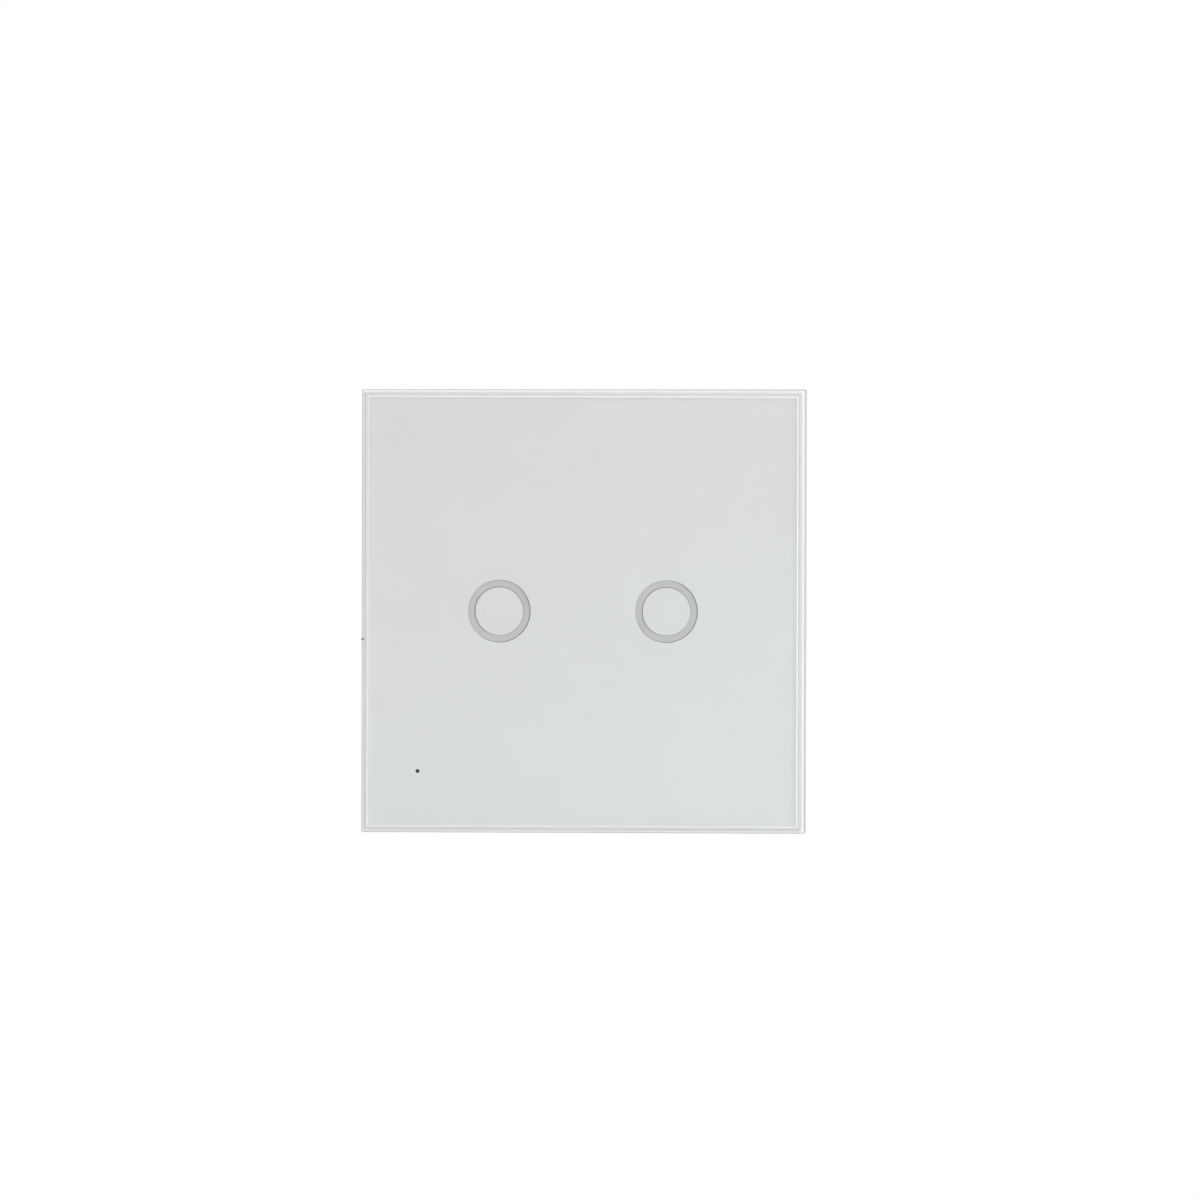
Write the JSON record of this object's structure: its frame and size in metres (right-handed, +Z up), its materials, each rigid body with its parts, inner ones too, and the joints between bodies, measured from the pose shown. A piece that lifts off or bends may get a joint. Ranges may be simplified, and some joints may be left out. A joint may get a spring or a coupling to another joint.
{
  "type": "smart light switch",
  "caption": "Square glass touch switch for a wall box, with ring-lit keys, a pull-off front panel, relays and clamp terminals in a rear housing.",
  "frame": {"origin": "midway between the two fixing slots, in the wall plane", "axes": "+X right as seen from the front, +Y into the wall, +Z up"},
  "size_m": [0.086, 0.0355, 0.086],
  "materials": {
    "clear_glass": "clear tempered glass, polished",
    "white_print": "white ceramic print",
    "adhesive": "milky transfer adhesive",
    "white_plastic": "white moulded plastic, satin",
    "opal_plastic": "opal light guide",
    "smoked_plastic": "smoked light pipe",
    "board_green": "green solder resist",
    "board_black": "black solder resist",
    "conductive_foam": "black conductive foam",
    "led_lens": "light-emitting diode, pale lens",
    "chip_black": "black moulding compound",
    "tinned_steel": "tinned steel",
    "copper": "copper",
    "black_plastic": "black moulded plastic",
    "gold_plate": "gold-plated brass",
    "steel_screw": "zinc-plated steel",
    "spring_steel": "stainless spring steel",
    "housing_plastic": "white flame-retardant plastic",
    "blue_plastic": "blue relay case",
    "relay_metal": "nickel-plated iron",
    "contact_alloy": "copper alloy with silver contact",
    "winding_wire": "enamelled copper wire",
    "ferrite": "dark ferrite",
    "sleeve_black": "black shrink sleeve",
    "yellow_case": "yellow moulded case",
    "varistor_blue": "blue epoxy coat",
    "terminal_plastic": "green terminal plastic",
    "nickel_brass": "nickel-plated brass"
  },
  "bodies": {
    "base": {"base_plate": "housing_plastic", "retaining_clips": "spring_steel", "rear_housing": "housing_plastic", "housing_screws": "steel_screw", "power_board": "board_green", "header_socket": "black_plastic", "relay_cases": "blue_plastic", "relay_bases": "black_plastic", "relay_yokes": "relay_metal", "relay_bobbins": "black_plastic", "relay_coils": "winding_wire", "relay_cores": "relay_metal", "relay_fixed_contacts": "contact_alloy", "transformer_core": "ferrite", "transformer_bobbin": "black_plastic", "transformer_winding": "yellow_case", "input_capacitor": "sleeve_black", "output_capacitor": "sleeve_black", "suppression_capacitor": "yellow_case", "fuse": "chip_black", "varistor": "varistor_blue", "bridge_rectifier": "chip_black", "converter_chip": "chip_black", "terminal_housing": "terminal_plastic", "terminal_tongues": "nickel_brass"},
    "front_panel": {"glass_panel": "clear_glass", "back_print": "white_print", "adhesive_sheet": "adhesive", "panel_frame": "white_plastic", "light_ring_left": "opal_plastic", "light_ring_right": "opal_plastic", "indicator_light_pipe": "smoked_plastic", "touch_board": "board_black", "touch_pads": "conductive_foam", "ring_leds": "led_lens", "indicator_led": "led_lens", "touch_controller": "chip_black", "radio_board": "board_black", "radio_shield": "tinned_steel", "radio_antenna": "copper", "header_strip": "black_plastic", "header_pins": "gold_plate", "panel_screws": "steel_screw"},
    "armature_left": {"relay_armature_left": "relay_metal", "contact_spring_left": "contact_alloy"},
    "armature_right": {"relay_armature_right": "relay_metal", "contact_spring_right": "contact_alloy"},
    "terminal_screw_1": {"terminal_screw_1": "steel_screw"},
    "clamp_cage_1": {"clamp_cage_1": "nickel_brass"},
    "terminal_screw_2": {"terminal_screw_2": "steel_screw"},
    "clamp_cage_2": {"clamp_cage_2": "nickel_brass"},
    "terminal_screw_3": {"terminal_screw_3": "steel_screw"},
    "clamp_cage_3": {"clamp_cage_3": "nickel_brass"},
    "terminal_screw_4": {"terminal_screw_4": "steel_screw"},
    "clamp_cage_4": {"clamp_cage_4": "nickel_brass"}
  },
  "joints": [
    {"name": "panel_pull", "type": "slide", "parent": "base", "child": "front_panel", "axis": [0, -1, 0], "range_m": [0, 0.025], "deforming": ["retaining_clips"]},
    {"name": "terminal_screw_1_turn", "type": "hinge", "parent": "base", "child": "terminal_screw_1", "pos_m": [-0.01125, 0.016, -0.0222], "axis": [0, -1, 0], "range_deg": [0, 1800]},
    {"name": "clamp_cage_1_rise", "type": "slide", "parent": "base", "child": "clamp_cage_1", "axis": [0, 1, 0], "range_m": [0, 0.0025]},
    {"name": "terminal_screw_2_turn", "type": "hinge", "parent": "base", "child": "terminal_screw_2", "pos_m": [-0.00375, 0.016, -0.0222], "axis": [0, -1, 0], "range_deg": [0, 1800]},
    {"name": "clamp_cage_2_rise", "type": "slide", "parent": "base", "child": "clamp_cage_2", "axis": [0, 1, 0], "range_m": [0, 0.0025]},
    {"name": "terminal_screw_3_turn", "type": "hinge", "parent": "base", "child": "terminal_screw_3", "pos_m": [0.00375, 0.016, -0.0222], "axis": [0, -1, 0], "range_deg": [0, 1800]},
    {"name": "clamp_cage_3_rise", "type": "slide", "parent": "base", "child": "clamp_cage_3", "axis": [0, 1, 0], "range_m": [0, 0.0025]},
    {"name": "terminal_screw_4_turn", "type": "hinge", "parent": "base", "child": "terminal_screw_4", "pos_m": [0.01125, 0.016, -0.0222], "axis": [0, -1, 0], "range_deg": [0, 1800]},
    {"name": "clamp_cage_4_rise", "type": "slide", "parent": "base", "child": "clamp_cage_4", "axis": [0, 1, 0], "range_m": [0, 0.0025]},
    {"name": "armature_left_close", "type": "hinge", "parent": "base", "child": "armature_left", "pos_m": [-0.01445, 0.0167, 0.0025], "axis": [-1, 0, 0], "range_deg": [0, 3.6], "stiffness_Nm_per_rad": 0.02, "springref_deg": -5.73, "deforming": ["contact_spring_left"]},
    {"name": "armature_right_close", "type": "hinge", "parent": "base", "child": "armature_right", "pos_m": [0.01445, 0.0167, 0.0025], "axis": [-1, 0, 0], "range_deg": [0, 3.6], "stiffness_Nm_per_rad": 0.02, "springref_deg": -5.73, "deforming": ["contact_spring_right"]}
  ],
  "couplings": [
    {"joint": "terminal_screw_1_turn", "follows": "clamp_cage_1_rise", "rad_per_m": 12566},
    {"joint": "terminal_screw_2_turn", "follows": "clamp_cage_2_rise", "rad_per_m": 12566},
    {"joint": "terminal_screw_3_turn", "follows": "clamp_cage_3_rise", "rad_per_m": 12566},
    {"joint": "terminal_screw_4_turn", "follows": "clamp_cage_4_rise", "rad_per_m": 12566}
  ]
}
